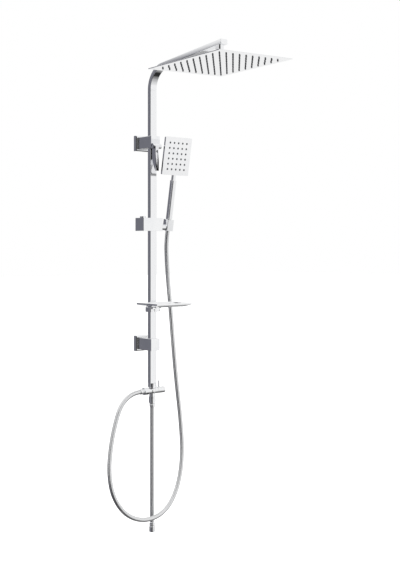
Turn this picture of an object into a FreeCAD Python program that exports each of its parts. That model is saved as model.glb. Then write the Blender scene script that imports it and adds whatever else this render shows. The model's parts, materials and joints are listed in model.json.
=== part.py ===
import FreeCAD, Part
import math
import os
from FreeCAD import Placement, Rotation, Vector

# Rainfall shower column: a rectangular riser that bends into an arm, held off the wall by two
# brackets, with a square rain head on a ball joint, a handset in a sliding holder, a soap dish,
# a two-way diverter and two metal hoses.
# Millimetres. Origin: centre of the lower wall cover's back face. The wall is the plane Y = 0,
# the shower stands in front of it (-Y), +X is to the right for someone who faces the wall.

# ---- driving dimensions -------------------------------------------------------------------
# clearances
FIXED = 0.05                # between pieces that are fastened together
RUNNING = 0.08              # round pieces that turn in each other
SLIDING = 0.2               # flat pieces that slide on each other
LOOSE = 0.3                 # covers, buttons and the cone in the holder

# riser and arm
TUBE_WIDTH = 25.0
TUBE_DEPTH = 15.0
TUBE_WALL = 1.2
TUBE_CORNER = 1.5
WALL_TO_TUBE = 58.0
FOOT_Z = -122.0
BEND_START_Z = 812.0
BEND_RADIUS = 70.0
ARM_RISE = 5.5              # degrees above level
ARM_LENGTH = 283.5
OUTLET_FROM_END = 18.0

# wall brackets
BRACKET_PITCH = 645.0
COVER_SIZE = 50.0
COVER_THICK = 14.0
COVER_BEVEL = 3.0
COVER_WALL = 2.0
WALL_PLATE_THICK = 3.0
SCREW_PITCH = 18.0
SCREW_HOLE_R = 2.5
BRACKET_WIDTH = 34.5
BRACKET_HEIGHT = 38.0
BRACKET_WALL = 3.0
BRACKET_NOSE = 10.0         # in front of the riser
LINER_THICK = 1.2

# cam lever on the upper bracket
CAM_HUB_R = 8.2
CAM_HUB_LENGTH = 17.0
CAM_DROP = 14.0             # hub below the bracket's middle
CAM_BLADE_LENGTH = 79.0
CAM_BLADE_THICK = 12.5      # from the hub's left end, so the handset's head stays clear
CAM_PIN_R = 2.5

# rain head
HEAD_SIZE = 300.0
SPRAY_PLATE_THICK = 1.5
NOZZLE_COUNT = 10
NOZZLE_PITCH = HEAD_SIZE / 11.32
NOZZLE_R = 2.8
NOZZLE_LENGTH = 4.0
HEAD_RISE = 6.0             # height of the shallow pyramid on top
BALL_R = 8.0
BALL_ABOVE_PLATE = 25.0     # ball centre above the spray face
BALL_BELOW_ARM = 29.0
HEAD_TURN = (-2.06, -2.9, 3.04)     # rest tilt on the ball, degrees about X, Y and Z

# slider and holder
SLIDER_Z = 382.0
SLIDER_HEIGHT = 41.0
SLIDER_LEFT = 42.0          # beyond the riser's left side
SLIDER_RIGHT = 10.0         # beyond the riser's right side
SLIDER_FRONT = 19.0
SLIDER_BACK = 10.0
BUTTON_R = 9.0
BUTTON_TRAVEL = 4.0
HOLDER_X = 59.0
HOLDER_WIDTH = 25.0
HOLDER_DEPTH = 25.0
HOLDER_HEIGHT = 36.0
HOLDER_LEAN = 10.5          # degrees, top towards the user
HOLDER_TOP_R = 10.6
HOLDER_BOTTOM_R = 8.8
PIVOT_BELOW = 8.0           # pivot below the holder's middle
PIVOT_FORWARD = 6.5         # pivot in front of the riser's middle
PIVOT_R = 4.0

# handset
HANDSET_WIDTH = 106.0
HANDSET_HEIGHT = 121.0
HANDSET_THICK = 12.0
HANDSET_TAPER = 5.5         # the head's back slopes in all round
HANDSET_CORNER = 3.0
FACE_THICK = 3.0
HANDLE_WIDTH = 16.0
HANDLE_DEPTH = 18.0
HANDLE_LENGTH = 126.0
HANDLE_CORNER = 4.5
NECK_LENGTH = 17.5
HAND_COLUMNS = 5
HAND_ROWS = 6
HAND_PITCH = 16.8
HAND_NOZZLE_R = 3.1

# soap dish
DISH_WIDTH = 140.0
DISH_DEPTH = 105.0
DISH_HEIGHT = 11.0
DISH_TOP_Z = 135.0
DISH_WALL = 4.0
DISH_SLOTS = 7

# diverter
DIVERTER_Z = -148.0
BARREL_R = 10.0
KNOB_LENGTH = 28.0
LEVER_R = 2.5
LEVER_LENGTH = 20.0
SPINDLE_R = 6.5

# hoses
HOSE_R = 7.0
HOSE_NUT_R = 11.5
INLET_HOSE_END_Z = -582.0
END_NUT_R = 9.6
END_NUT_LENGTH = 16.0
THREAD_R = 7.5              # inside the inlet's end nut
THREAD_LENGTH = 9.0

# The handset hose's route, chosen by hand: round its hanging loop in front of the inlet hose
# and up beside the dish. It leaves one nut and meets the other with a straight run.
HOSE_STRAIGHT_OUT = 28.0
HOSE_STRAIGHT_IN = 40.0
HOSE_ROUTE = [
    (-93, -66, -158),
    (-125, -68, -184),
    (-147, -72, -233),
    (-170, -80, -300),
    (-184, -89, -382),
    (-172, -97, -460),
    (-122, -103, -524),
    (-44, -104, -549),
    (34, -98, -530),
    (90, -87, -464),
    (118, -75, -366),
    (117, -65, -252),
    (106, -56, -125),
    (96, -51, 5),
    (87, -48, 125),
    (78, -47, 210),
    (66, -56, 280),
]

# ---- derived values -----------------------------------------------------------------------
TUBE_Y = -(WALL_TO_TUBE + TUBE_DEPTH / 2)
TUBE_FRONT = TUBE_Y - TUBE_DEPTH / 2
TUBE_SIDE = TUBE_WIDTH / 2
BRACKET_FRONT = TUBE_FRONT - BRACKET_NOSE
CAM_Y = BRACKET_FRONT - CAM_HUB_R / 2
CAM_Z = BRACKET_PITCH - CAM_DROP
PIVOT = Vector(HOLDER_X, TUBE_Y - PIVOT_FORWARD, SLIDER_Z - PIVOT_BELOW)
SLIDER_X = (-TUBE_SIDE - SLIDER_LEFT, TUBE_SIDE + SLIDER_RIGHT)
HOLDER_FOOT = PIVOT_BELOW - HOLDER_HEIGHT / 2       # holder's lower face, above the pivot
HOLDER_HEAD = HOLDER_FOOT + HOLDER_HEIGHT
HANDLE_FOOT = HOLDER_HEAD + 0.5
X_AXIS = Vector(1, 0, 0)
Y_AXIS = Vector(0, 1, 0)
Z_AXIS = Vector(0, 0, 1)


# ---- helpers ------------------------------------------------------------------------------
def block(x, y, z):
    """A box from its two ends along each axis."""
    return Part.makeBox(x[1] - x[0], y[1] - y[0], z[1] - z[0], Vector(x[0], y[0], z[0]))


def rod(start, axis, radius, length):
    return Part.makeCylinder(radius, length, start, axis)


def ring(start, axis, outer, inner, length):
    return rod(start, axis, outer, length).cut(rod(start, axis, inner, length))


def cone(z, low_r, high_r, height):
    return Part.makeCone(low_r, high_r, height, Vector(0, 0, z), Z_AXIS)


def along(shape, axis):
    """The straight edges of a shape that run along an axis."""
    found = []
    for edge in shape.Edges:
        if isinstance(edge.Curve, (Part.Line, Part.LineSegment)):
            if abs(edge.tangentAt(edge.FirstParameter).dot(axis)) > 0.999:
                found.append(edge)
    return found


def rounded(shape, axis, radius):
    return shape.makeFillet(radius, along(shape, axis))


def outline(width, depth, corner):
    """A rounded rectangle in the XY plane, centred on the origin, as a face."""
    slab = block((-width / 2, width / 2), (-depth / 2, depth / 2), (0, 1))
    slab = rounded(slab, Z_AXIS, corner)
    return min(slab.Faces, key=lambda face: face.CenterOfMass.z)


def square_loft(levels, centre=(0, 0)):
    """A solid through rectangles, each given as (z, width, depth)."""
    wires = []
    for z, width, depth in levels:
        corners = []
        for sx, sy in ((-1, -1), (1, -1), (1, 1), (-1, 1), (-1, -1)):
            x = centre[0] + sx * width / 2
            y = centre[1] + sy * depth / 2
            corners.append(Vector(x, y, z))
        wires.append(Part.makePolygon(corners))
    return Part.makeLoft(wires, True, True)


def coil_spring(coil_r, wire_r, height, turns, sides=8):
    """A spring round Z from 0 to height, its wire an even-sided bar."""
    corners = []
    for i in range(sides):
        a = 2 * math.pi * (i + 0.5) / sides
        corners.append(Vector(coil_r + wire_r * math.cos(a), 0, wire_r * math.sin(a)))
    section = Part.makePolygon(corners + corners[:1])
    helix = Part.makeHelix(height / turns, height, coil_r)
    return Part.Wire(helix).makePipeShell([section], True, True)


def turned(shape, placement):
    result = shape.copy()
    result.Placement = placement.multiply(result.Placement)
    return result


def many(shapes):
    return Part.makeCompound(shapes)


def nut(start, axis, radius, length, bore):
    """A union nut: a round nut with six flats and a through bore."""
    body = rod(start, axis, radius, length)
    flats = rod(start, axis, radius * 1.09, length)
    across = radius * 0.955
    side = axis.cross(Y_AXIS if abs(axis.dot(Y_AXIS)) < 0.5 else X_AXIS)
    for number in range(6):
        turn = Rotation(axis, 60 * number)
        outward = turn.multVec(side)
        cutter = rod(start + outward * across, outward, radius, radius)
        slab = Part.makeBox(4 * radius, 4 * radius, radius)
        slab.translate(Vector(-2 * radius, -2 * radius, 0))
        slab.Placement = Placement(start + outward * across, Rotation(Z_AXIS, outward)).multiply(
            slab.Placement
        )
        flats = flats.cut(slab)
    middle = body.common(flats)
    collar = rod(start, axis, radius, length * 0.22)
    far = rod(start + axis * length * 0.85, axis, radius * 0.97, length * 0.15)
    return middle.fuse([collar, far]).removeSplitter().cut(rod(start, axis, bore, length))


def screw(seat, axis, radius, length, head_r, head_height):
    """A socket screw. seat is under its head and axis points the way it is driven."""
    shank = rod(seat, axis, radius, length)
    head = rod(seat - axis * head_height, axis, head_r, head_height)
    socket = rod(seat - axis * head_height, axis, head_r * 0.45, head_height * 0.6)
    return shank.fuse(head).cut(socket)


def save(name, shape):
    shape.exportStep("parts/" + name + ".step")
    solids = shape.Solids
    print(f"{name:26s} {len(solids):4d} solids {shape.Volume:12.1f} mm3 valid {shape.isValid()}")


# ---- riser and arm ------------------------------------------------------------------------
def arm_placement(distance):
    """Local Z runs along the arm, with its origin that far past the bend."""
    sweep = math.radians(90 - ARM_RISE)
    y = TUBE_Y - BEND_RADIUS * (1 - math.cos(sweep)) - distance * math.sin(sweep)
    z = BEND_START_Z + BEND_RADIUS * math.sin(sweep) + distance * math.cos(sweep)
    return Placement(Vector(0, y, z), Rotation(X_AXIS, 90 - ARM_RISE))


def swept_column(width, depth, corner):
    """The riser, its bend and the arm, solid, with one rounded rectangular section."""
    section = outline(width, depth, corner)
    foot = turned(section, Placement(Vector(0, TUBE_Y, FOOT_Z), Rotation()))
    riser = foot.extrude(Vector(0, 0, BEND_START_Z - FOOT_Z))
    at_bend = turned(section, Placement(Vector(0, TUBE_Y, BEND_START_Z), Rotation()))
    centre = Vector(0, TUBE_Y - BEND_RADIUS, BEND_START_Z)
    bend = at_bend.revolve(centre, X_AXIS, 90 - ARM_RISE)
    start = arm_placement(0)
    direction = start.Rotation.multVec(Z_AXIS)
    arm = turned(section, start).extrude(direction * ARM_LENGTH)
    return riser.fuse([bend, arm]).removeSplitter()


OUTLET = arm_placement(ARM_LENGTH - OUTLET_FROM_END).Base
ARM_UNDERSIDE = OUTLET.z - TUBE_DEPTH / 2 / math.cos(math.radians(ARM_RISE))
BALL = Vector(0, OUTLET.y, ARM_UNDERSIDE - BALL_BELOW_ARM)


def make_column():
    outer = swept_column(TUBE_WIDTH, TUBE_DEPTH, TUBE_CORNER)
    bore_width = TUBE_WIDTH - 2 * TUBE_WALL
    bore_depth = TUBE_DEPTH - 2 * TUBE_WALL
    inner = swept_column(bore_width, bore_depth, TUBE_CORNER / 2)
    outlet_hole = rod(Vector(0, OUTLET.y, ARM_UNDERSIDE - 3), Z_AXIS, 6, TUBE_DEPTH / 2 + 3)
    save("column_tube", outer.cut(inner).cut(outlet_hole))

    end = arm_placement(ARM_LENGTH)
    lid = outline(TUBE_WIDTH, TUBE_DEPTH, TUBE_CORNER).extrude(Vector(0, 0, 2))
    plug_width = bore_width - 2 * FIXED
    plug = outline(plug_width, bore_depth - 2 * FIXED, 1).extrude(Vector(0, 0, -5))
    save("arm_end_cap", turned(lid.fuse(plug), end))

    collar = ring(
        Vector(0, OUTLET.y, ARM_UNDERSIDE - 12), Z_AXIS, 12, 7 + RUNNING, 12 + TUBE_DEPTH / 2
    )
    save("arm_outlet_collar", collar.cut(outer))

    foot_plug = outline(plug_width, bore_depth - 2 * FIXED, 1).extrude(Vector(0, 0, 10))
    foot_plug = turned(foot_plug, Placement(Vector(0, TUBE_Y, FOOT_Z), Rotation()))
    flange = outline(TUBE_WIDTH, TUBE_DEPTH, TUBE_CORNER).extrude(Vector(0, 0, -1.5))
    flange = turned(flange, Placement(Vector(0, TUBE_Y, FOOT_Z), Rotation()))
    spigot_top = FOOT_Z - 1.5
    spigot = rod(Vector(0, TUBE_Y, spigot_top), -Z_AXIS, 6.2, 8.5)
    lip = rod(Vector(0, TUBE_Y, spigot_top - 6), -Z_AXIS, 9, 2.5)
    bore = rod(Vector(0, TUBE_Y, FOOT_Z + 10), -Z_AXIS, 4, 25)
    save("column_foot", foot_plug.fuse([flange, spigot, lip]).cut(bore))


# ---- wall brackets ------------------------------------------------------------------------
def bracket_pieces(z):
    """Wall plate, cover, arm and liner of one bracket at that height, and the liner's pocket."""
    socket_width = BRACKET_WIDTH - 2 * BRACKET_WALL
    socket_height = BRACKET_HEIGHT - 2 * BRACKET_WALL
    spigot_wall = 2.5
    plate_side = COVER_SIZE - 2 * COVER_WALL - 1
    half = plate_side / 2
    plate = block((-half, half), (-WALL_PLATE_THICK, 0), (z - half, z + half))
    spigot_width = socket_width - 2 * FIXED
    spigot_height = socket_height - 2 * FIXED
    sx = spigot_width / 2
    sz = spigot_height / 2
    spigot = block((-sx, sx), (-WALL_PLATE_THICK - 12, -WALL_PLATE_THICK), (z - sz, z + sz))
    ix = sx - spigot_wall
    iz = sz - spigot_wall
    spigot = spigot.cut(block((-ix, ix), (-40, -WALL_PLATE_THICK), (z - iz, z + iz)))
    plate = plate.fuse(spigot)
    for side in (-1, 1):
        at = Vector(0, 1, z + side * SCREW_PITCH / 2)
        plate = plate.cut(rod(at, -Y_AXIS, SCREW_HOLE_R, WALL_PLATE_THICK + 2))

    half = COVER_SIZE / 2
    cover = block((-half, half), (-COVER_THICK, 0), (z - half, z + half))
    front_edges = [
        edge
        for edge in cover.Edges
        if abs(edge.CenterOfMass.y + COVER_THICK) < 0.01
    ]
    cover = cover.makeChamfer(COVER_BEVEL, front_edges)
    inner = half - COVER_WALL
    deep = COVER_THICK - COVER_BEVEL - 1
    cover = cover.cut(block((-inner, inner), (-deep, 1), (z - inner, z + inner)))
    bx = BRACKET_WIDTH / 2
    bz = BRACKET_HEIGHT / 2
    window = LOOSE
    cover = cover.cut(
        block((-bx - window, bx + window), (-COVER_THICK - 1, 0), (z - bz - window, z + bz + window))
    )

    arm = block((-bx, bx), (BRACKET_FRONT, -WALL_PLATE_THICK), (z - bz, z + bz))
    arm = rounded(arm, Y_AXIS, 1)
    hollow_end = -(WALL_TO_TUBE - 8)
    half_socket = socket_height / 2
    arm = arm.cut(
        block(
            (-socket_width / 2, socket_width / 2),
            (hollow_end, -WALL_PLATE_THICK + 1),
            (z - half_socket, z + half_socket),
        )
    )
    liner_width = TUBE_WIDTH + 2 * LINER_THICK
    liner_depth = TUBE_DEPTH + 2 * LINER_THICK
    pocket = outline(liner_width, liner_depth, 2).extrude(Vector(0, 0, BRACKET_HEIGHT + 2))
    pocket = turned(pocket, Placement(Vector(0, TUBE_Y, z - bz - 1), Rotation()))
    arm = arm.cut(pocket)
    liner = outline(liner_width - 2 * FIXED, liner_depth - 2 * FIXED, 2)
    liner = liner.extrude(Vector(0, 0, BRACKET_HEIGHT - 1))
    tube = outline(TUBE_WIDTH + 2 * FIXED, TUBE_DEPTH + 2 * FIXED, TUBE_CORNER)
    liner = liner.cut(tube.extrude(Vector(0, 0, BRACKET_HEIGHT)))
    liner = turned(liner, Placement(Vector(0, TUBE_Y, z - bz + 0.5), Rotation()))
    return plate, cover, arm, liner


def make_brackets():
    lock_screws = []
    lock_y = -WALL_PLATE_THICK - 5
    screw_r = 2
    reach = BRACKET_WALL - 0.2
    for name, z in (("lower", 0.0), ("upper", BRACKET_PITCH)):
        plate, cover, arm, liner = bracket_pieces(z)
        # a grub screw under each arm locks it on its wall plate
        start = Vector(0, -COVER_THICK - 4, z - BRACKET_HEIGHT / 2)
        start.y = min(start.y, lock_y)
        grub = rod(start + Z_AXIS * 0.1, Z_AXIS, screw_r, reach)
        grub = grub.cut(rod(start, Z_AXIS, 1, 2))
        lock_screws.append(grub)
        arm = arm.cut(rod(start - Z_AXIS, Z_AXIS, screw_r + FIXED, BRACKET_WALL + 1))
        # another in the right side clamps the riser through its liner
        side = Vector(BRACKET_WIDTH / 2, TUBE_Y, z)
        depth = BRACKET_WIDTH / 2 - TUBE_SIDE - LINER_THICK
        lock_screws.append(
            rod(side, -X_AXIS, screw_r, depth - 0.2).cut(rod(side, -X_AXIS, 1, 1.8))
        )
        arm = arm.cut(rod(side + X_AXIS, -X_AXIS, screw_r + FIXED, depth + 1))
        if name == "upper":
            arm = fit_cam(arm, liner)
        save(name + "_wall_plate", plate)
        save(name + "_wall_cover", cover)
        save(name + "_bracket", arm)
        save(name + "_bracket_liner", liner)
    save("bracket_grub_screws", many(lock_screws))


def fit_cam(arm, liner):
    """Adds the cam's knuckles to the upper bracket and cuts the hub's and the pad's pockets."""
    half = CAM_HUB_LENGTH / 2
    hub_room = rod(
        Vector(-half - LOOSE, CAM_Y, CAM_Z), X_AXIS, CAM_HUB_R + LOOSE, CAM_HUB_LENGTH + 2 * LOOSE
    )
    ear_length = BRACKET_WIDTH / 2 - 0.8 - half - LOOSE
    for side in (-1, 1):
        start = Vector(side * (half + LOOSE), CAM_Y, CAM_Z)
        arm = arm.fuse(rod(start, X_AXIS * side, CAM_HUB_R, ear_length))
    arm = arm.cut(hub_room)
    arm = arm.cut(
        rod(Vector(-BRACKET_WIDTH, CAM_Y, CAM_Z), X_AXIS, CAM_PIN_R + FIXED, 2 * BRACKET_WIDTH)
    )
    pad_x = 6.0
    pad_z = 5.0
    pad_back = TUBE_FRONT - LINER_THICK - 0.1
    pad = block(
        (-pad_x, pad_x), (CAM_Y, pad_back), (CAM_Z - pad_z, CAM_Z + pad_z)
    ).cut(hub_room)
    room = block(
        (-pad_x - FIXED, pad_x + FIXED),
        (CAM_Y, pad_back + 0.3),
        (CAM_Z - pad_z - FIXED, CAM_Z + pad_z + FIXED),
    )
    save("cam_pad", pad)
    return arm.cut(room)


def make_cam_lever():
    half = CAM_HUB_LENGTH / 2
    hub = rod(Vector(-half, CAM_Y, CAM_Z), X_AXIS, CAM_HUB_R, CAM_HUB_LENGTH)
    front = CAM_Y - CAM_HUB_R
    tip = CAM_Z - CAM_BLADE_LENGTH
    under_bracket = BRACKET_PITCH - BRACKET_HEIGHT / 2 - 3
    root = TUBE_FRONT - 1.5
    bulge = Vector(0, root - 5, (under_bracket + tip) / 2 - 6)
    points = [
        Vector(0, CAM_Y, CAM_Z),
        Vector(0, front, CAM_Z),
        Vector(0, front, tip + 1),
        Vector(0, front + 2, tip),
        Vector(0, root, under_bracket - 12),
        Vector(0, root, under_bracket),
        Vector(0, BRACKET_FRONT - 1, under_bracket),
    ]
    edges = [Part.makeLine(a, b) for a, b in zip(points[:3], points[1:4])]
    edges.append(Part.Arc(points[3], bulge, points[4]).toShape())
    edges += [Part.makeLine(a, b) for a, b in zip(points[4:], points[5:] + points[:1])]
    face = Part.Face(Part.Wire(edges))
    blade = face.extrude(X_AXIS * CAM_BLADE_THICK)
    blade.translate(X_AXIS * -half)
    lever = hub.fuse(blade).removeSplitter()
    pin_hole = rod(Vector(-half - 1, CAM_Y, CAM_Z), X_AXIS, CAM_PIN_R + RUNNING, CAM_HUB_LENGTH + 2)
    save("cam_lever", lever.cut(pin_hole))
    length = BRACKET_WIDTH - 2.5
    save("cam_pin", rod(Vector(-length / 2, CAM_Y, CAM_Z), X_AXIS, CAM_PIN_R, length))


# ---- rain head ----------------------------------------------------------------------------
def head_turn():
    about_x, about_y, about_z = HEAD_TURN
    return (
        Rotation(Z_AXIS, about_z)
        .multiply(Rotation(Y_AXIS, about_y))
        .multiply(Rotation(X_AXIS, about_x))
    )


def grid(columns, rows, pitch):
    """Centres of a square grid about the origin."""
    places = []
    for column in range(columns):
        for row in range(rows):
            x = (column - (columns - 1) / 2) * pitch
            y = (row - (rows - 1) / 2) * pitch
            places.append((x, y))
    return places


def make_ball_joint():
    """The stub that turns in the arm's collar, with the ball under it."""
    collar_foot = ARM_UNDERSIDE - 12
    shank_top = ARM_UNDERSIDE - 1.5
    centre = Vector(0, OUTLET.y, 0)
    shank = rod(centre + Z_AXIS * (collar_foot - 0.5), Z_AXIS, 7, shank_top - collar_foot + 0.5)
    flange = rod(centre + Z_AXIS * (collar_foot - LOOSE), -Z_AXIS, 10, 3)
    neck = rod(BALL, Z_AXIS, 5, collar_foot - BALL.z - 1)
    ball = Part.makeSphere(BALL_R, BALL)
    stub = ball.fuse([neck, flange, shank])
    stub = stub.cut(rod(BALL - Z_AXIS * 20, Z_AXIS, 3.5, 60))
    seal_z = collar_foot + 5
    groove = ring(Vector(0, OUTLET.y, seal_z), Z_AXIS, 7.5, 5.6, 2)
    save("ball_stub", stub.cut(groove))
    save("stub_o_ring", ring(Vector(0, OUTLET.y, seal_z + 0.1), Z_AXIS, 7, 5.65, 1.8))


def make_head():
    """The head is built level about its ball's centre and then turned to its rest tilt."""
    place = Placement(BALL, head_turn())
    low = -BALL_ABOVE_PLATE
    plate_top = low + SPRAY_PLATE_THICK
    mat_top = plate_top + 1.0
    shell_top = mat_top + HEAD_RISE
    nozzles = grid(NOZZLE_COUNT, NOZZLE_COUNT, NOZZLE_PITCH)
    half = HEAD_SIZE / 2

    plate = block((-half, half), (-half, half), (low, plate_top))
    plate = rounded(plate, Z_AXIS, 2)
    holes = [rod(Vector(x, y, low - 1), Z_AXIS, NOZZLE_R + 0.1, 4) for x, y in nozzles]
    save("head_spray_plate", turned(plate.cut(many(holes)), place))

    rim = 5.0
    mat_half = half - rim - FIXED
    mat = block((-mat_half, mat_half), (-mat_half, mat_half), (plate_top, mat_top))
    tips = []
    for x, y in nozzles:
        tip = Part.makeCone(
            NOZZLE_R * 0.7,
            NOZZLE_R,
            NOZZLE_LENGTH + SPRAY_PLATE_THICK + 0.5,
            Vector(x, y, low - NOZZLE_LENGTH),
            Z_AXIS,
        )
        tips.append(tip)
    mat = mat.fuse(tips)
    jets = [rod(Vector(x, y, low - 5), Z_AXIS, 0.6, 10) for x, y in nozzles]
    save("head_nozzle_mat", turned(mat.cut(many(jets)), place))

    boss_r = 10.9
    skin = 1.2
    outer = square_loft([(mat_top, HEAD_SIZE, HEAD_SIZE), (shell_top, 50, 50)])
    edge = block((-half, half), (-half, half), (plate_top, mat_top))
    outer = outer.fuse(edge).removeSplitter()
    inner = square_loft(
        [(mat_top, HEAD_SIZE - 60, HEAD_SIZE - 60), (shell_top - skin, 48, 48)]
    )
    room = block((-half + rim, half - rim), (-half + rim, half - rim), (low, mat_top))
    shell = outer.cut(inner).cut(room)
    flow_r = 4.0
    shell = shell.cut(rod(Vector(0, 0, low), Z_AXIS, flow_r, 30))
    save("head_top_shell", turned(shell, place))

    socket_r = BALL_R + LOOSE
    seal_foot = -8.5
    boss = rod(Vector(0, 0, shell_top), Z_AXIS, boss_r, -3 - shell_top)
    flange = rod(Vector(0, 0, shell_top), Z_AXIS, 16, 2)
    boss = boss.fuse(flange).cut(Part.makeSphere(socket_r)).cut(
        rod(Vector(0, 0, shell_top - 1), Z_AXIS, flow_r, 20)
    )
    boss = boss.cut(rod(Vector(0, 0, seal_foot), Z_AXIS, 7.2, 10))
    save("head_inlet_boss", turned(boss, place))
    seal = rod(Vector(0, 0, seal_foot), Z_AXIS, 7.15, 5).cut(Part.makeSphere(socket_r))
    save("ball_seal", turned(seal.cut(rod(Vector(0, 0, seal_foot - 1), Z_AXIS, 4.6, 10)), place))
    nut_foot = -10.0
    cap = nut(Vector(0, 0, nut_foot), Z_AXIS, 13, 18, boss_r + FIXED)
    cap = cap.fuse(ring(Vector(0, 0, -3), Z_AXIS, 12.3, 6.9, 11)).removeSplitter()
    cap = cap.cut(Part.makeSphere(socket_r))
    save("head_ball_nut", turned(cap, place))


# ---- slider, holder and handset -----------------------------------------------------------
def make_slider():
    """The block on the riser, with its button, spring and lock pad, and the holder's pivot."""
    front = TUBE_FRONT - SLIDER_FRONT
    back = TUBE_FRONT + TUBE_DEPTH + SLIDER_BACK
    low = SLIDER_Z - SLIDER_HEIGHT / 2
    high = SLIDER_Z + SLIDER_HEIGHT / 2
    body = block(SLIDER_X, (front, back), (low, high))
    body = rounded(body, Z_AXIS, 2.5)
    liner_width = TUBE_WIDTH + 2 * (LINER_THICK + SLIDING)
    liner_depth = TUBE_DEPTH + 2 * (LINER_THICK + SLIDING)
    pocket = outline(liner_width, liner_depth, 2).extrude(Vector(0, 0, SLIDER_HEIGHT + 2))
    body = body.cut(turned(pocket, Placement(Vector(0, TUBE_Y, low - 1), Rotation())))
    liner = outline(liner_width - 2 * FIXED, liner_depth - 2 * FIXED, 2)
    liner = liner.extrude(Vector(0, 0, SLIDER_HEIGHT - 1))
    tube = outline(TUBE_WIDTH + 2 * SLIDING, TUBE_DEPTH + 2 * SLIDING, TUBE_CORNER)
    liner = liner.cut(tube.extrude(Vector(0, 0, SLIDER_HEIGHT)))
    liner = turned(liner, Placement(Vector(0, TUBE_Y, low + 0.5), Rotation()))

    # the button's well: a wide mouth for the cap, a bore for the stem and the spring under it
    button = Vector(SLIDER_X[0] + BUTTON_R + 8, TUBE_Y, 0)
    cap_low = high - 3
    stem_r = 5.0
    stem_low = high - 20
    well_low = low + 5
    mouth = rod(
        button + Z_AXIS * (cap_low - BUTTON_TRAVEL - 0.5), Z_AXIS, BUTTON_R + LOOSE, 30
    )
    bore = rod(button + Z_AXIS * well_low, Z_AXIS, stem_r + SLIDING, high - well_low)
    cap = rod(button + Z_AXIS * cap_low, Z_AXIS, BUTTON_R, 9)
    cap = cap.makeFillet(1.2, [edge for edge in cap.Edges if edge.CenterOfMass.z > high + 5.9])
    stem = rod(button + Z_AXIS * stem_low, Z_AXIS, stem_r, cap_low - stem_low)
    save("release_button", cap.fuse(stem).removeSplitter())

    pad_low = SLIDER_Z - 6
    pad_half = 5.0
    pad_left = button.x + stem_r + SLIDING + 0.6
    pad_right = -TUBE_SIDE - LINER_THICK - 2 * SLIDING
    pad = block((pad_left, pad_right), (TUBE_Y - pad_half, TUBE_Y + pad_half), (pad_low, pad_low + 9))
    pad_room = block(
        (button.x, pad_right + 1),
        (TUBE_Y - pad_half - FIXED, TUBE_Y + pad_half + FIXED),
        (pad_low - FIXED, pad_low + 9 + FIXED),
    )
    save("slider_lock_pad", pad)

    wire_r = 0.5
    spring_r = stem_r - wire_r - 0.4
    spring_height = stem_low - well_low - 2 * wire_r - 0.2
    spring = coil_spring(spring_r, wire_r, spring_height, 4)
    spring.translate(button + Z_AXIS * (well_low + wire_r + 0.1))
    save("button_spring", spring)

    # the pivot stands out of the block's right side
    boss_end = HOLDER_X - HOLDER_WIDTH / 2 - 18
    face = Vector(SLIDER_X[1], PIVOT.y, PIVOT.z)
    body = body.fuse(rod(face, X_AXIS, 9, boss_end - face.x))
    pin_start = TUBE_SIDE + LINER_THICK + SLIDING + 0.5
    body = body.cut(rod(Vector(pin_start, PIVOT.y, PIVOT.z), X_AXIS, PIVOT_R + FIXED, 60))
    save("slider_body", body.cut(mouth).cut(bore).cut(pad_room))
    window = block(
        (pad_left, -TUBE_SIDE),
        (TUBE_Y - pad_half - FIXED, TUBE_Y + pad_half + FIXED),
        (pad_low - FIXED, pad_low + 9 + FIXED),
    )
    save("slider_liner", liner.cut(window))
    return boss_end, pin_start


def handset_place():
    """Upright pieces about the holder's pivot, leaned towards the user."""
    return Placement(PIVOT, Rotation(X_AXIS, HOLDER_LEAN))


def make_holder(boss_end, pin_start):
    washer = 1.0
    washer_start = Vector(boss_end, PIVOT.y, PIVOT.z)
    save("pivot_washer", ring(washer_start, X_AXIS, 9, PIVOT_R + FIXED, washer))

    place = handset_place()
    half_width = HOLDER_WIDTH / 2
    half_depth = HOLDER_DEPTH / 2
    block_body = block(
        (-half_width, half_width), (-half_depth, half_depth), (HOLDER_FOOT, HOLDER_HEAD)
    )
    block_body = rounded(block_body, Z_AXIS, 2)
    hub_start = boss_end + washer + 0.1 - HOLDER_X
    hub = rod(Vector(hub_start, 0, 0), X_AXIS, 9, -half_width - hub_start + 1)
    holder = block_body.fuse(hub)
    seat = cone(HOLDER_FOOT - 1, HOLDER_BOTTOM_R, HOLDER_TOP_R, HOLDER_HEIGHT + 2)
    head_room = 3.6
    screw_end = -HOLDER_BOTTOM_R - 0.6
    holder = holder.cut(seat)
    holder = holder.cut(rod(Vector(hub_start - 1, 0, 0), X_AXIS, PIVOT_R + RUNNING, 30))
    holder = holder.cut(rod(Vector(screw_end - head_room, 0, 0), X_AXIS, 6.2, 12)).cut(seat)
    slot_half = HOSE_R + 0.6
    slot = block((0, HOLDER_WIDTH), (-slot_half, slot_half), (HOLDER_FOOT - 1, HOLDER_HEAD + 1))
    save("handset_holder", turned(holder.cut(slot), place))

    end = HOLDER_X + screw_end - head_room
    pin = rod(Vector(pin_start + 0.2, PIVOT.y, PIVOT.z), X_AXIS, PIVOT_R, end - pin_start)
    head = rod(Vector(end + 0.1, PIVOT.y, PIVOT.z), X_AXIS, 6, head_room - 0.5)
    socket = rod(Vector(end + 1.5, PIVOT.y, PIVOT.z), X_AXIS, 2.5, 4)
    save("holder_pivot_screw", pin.fuse(head).cut(socket))


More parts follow.
